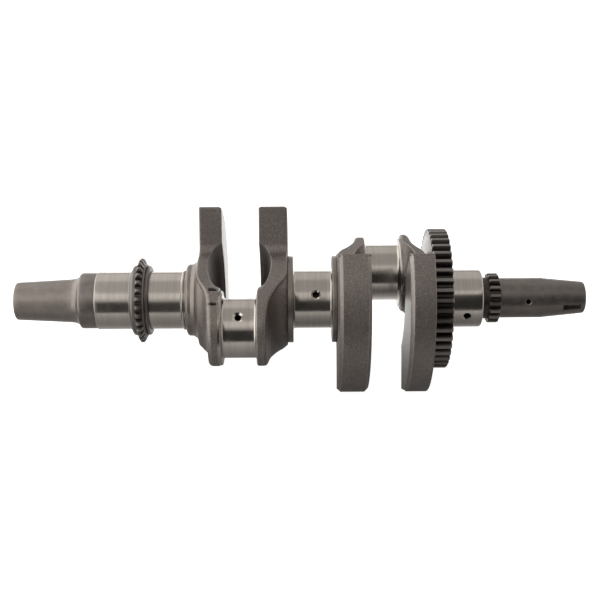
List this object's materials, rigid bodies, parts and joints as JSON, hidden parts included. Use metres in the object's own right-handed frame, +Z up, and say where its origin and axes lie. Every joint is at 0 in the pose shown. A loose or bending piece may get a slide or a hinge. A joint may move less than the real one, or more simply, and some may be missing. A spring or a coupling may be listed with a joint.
{
  "type": "crankshaft",
  "caption": "Parallel-twin engine crankshaft: forged webs with counterweights, opposed crankpins, main journals, sprocket, balancer gear, pump gear and tapered ends.",
  "frame": {"origin": "on the crank axis at the middle of the shaft's length", "axes": "+X along the crank axis towards the flywheel end, crankpins level with the axis with pin 1 towards -Y, +Z up as the shaft rests on its counterweights"},
  "size_m": [0.433, 0.142, 0.1246],
  "materials": {
    "ground_steel": "ground journal, fine lines around the axis",
    "turned_steel": "turned and heat treated, satin brown-grey",
    "forged_steel": "forged and blasted, matt brown-grey with fine grain",
    "gear_steel": "hobbed and hardened, dark grey",
    "plug_steel": "bright drawn steel"
  },
  "bodies": {
    "root": {"pto_taper_nose": "turned_steel", "pto_seal_land": "turned_steel", "pto_outer_journal": "ground_steel", "cam_chain_sprocket": "gear_steel", "sprocket_seat": "ground_steel", "sprocket_key": "plug_steel", "pto_inner_journal": "ground_steel", "pto_thrust_collar": "turned_steel", "web_1": "forged_steel", "crankpin_1": "ground_steel", "web_2": "forged_steel", "centre_thrust_collar_left": "turned_steel", "centre_main_journal": "ground_steel", "centre_thrust_collar_right": "turned_steel", "web_3": "forged_steel", "crankpin_2": "ground_steel", "web_4": "forged_steel", "balancer_gear_seat": "turned_steel", "balancer_drive_gear": "gear_steel", "balancer_gear_key": "plug_steel", "flywheel_main_journal": "ground_steel", "oil_pump_drive_gear": "gear_steel", "starter_clutch_shaft": "turned_steel", "shaft_gallery_plug": "plug_steel", "flywheel_taper": "turned_steel"}
  },
  "joints": []
}
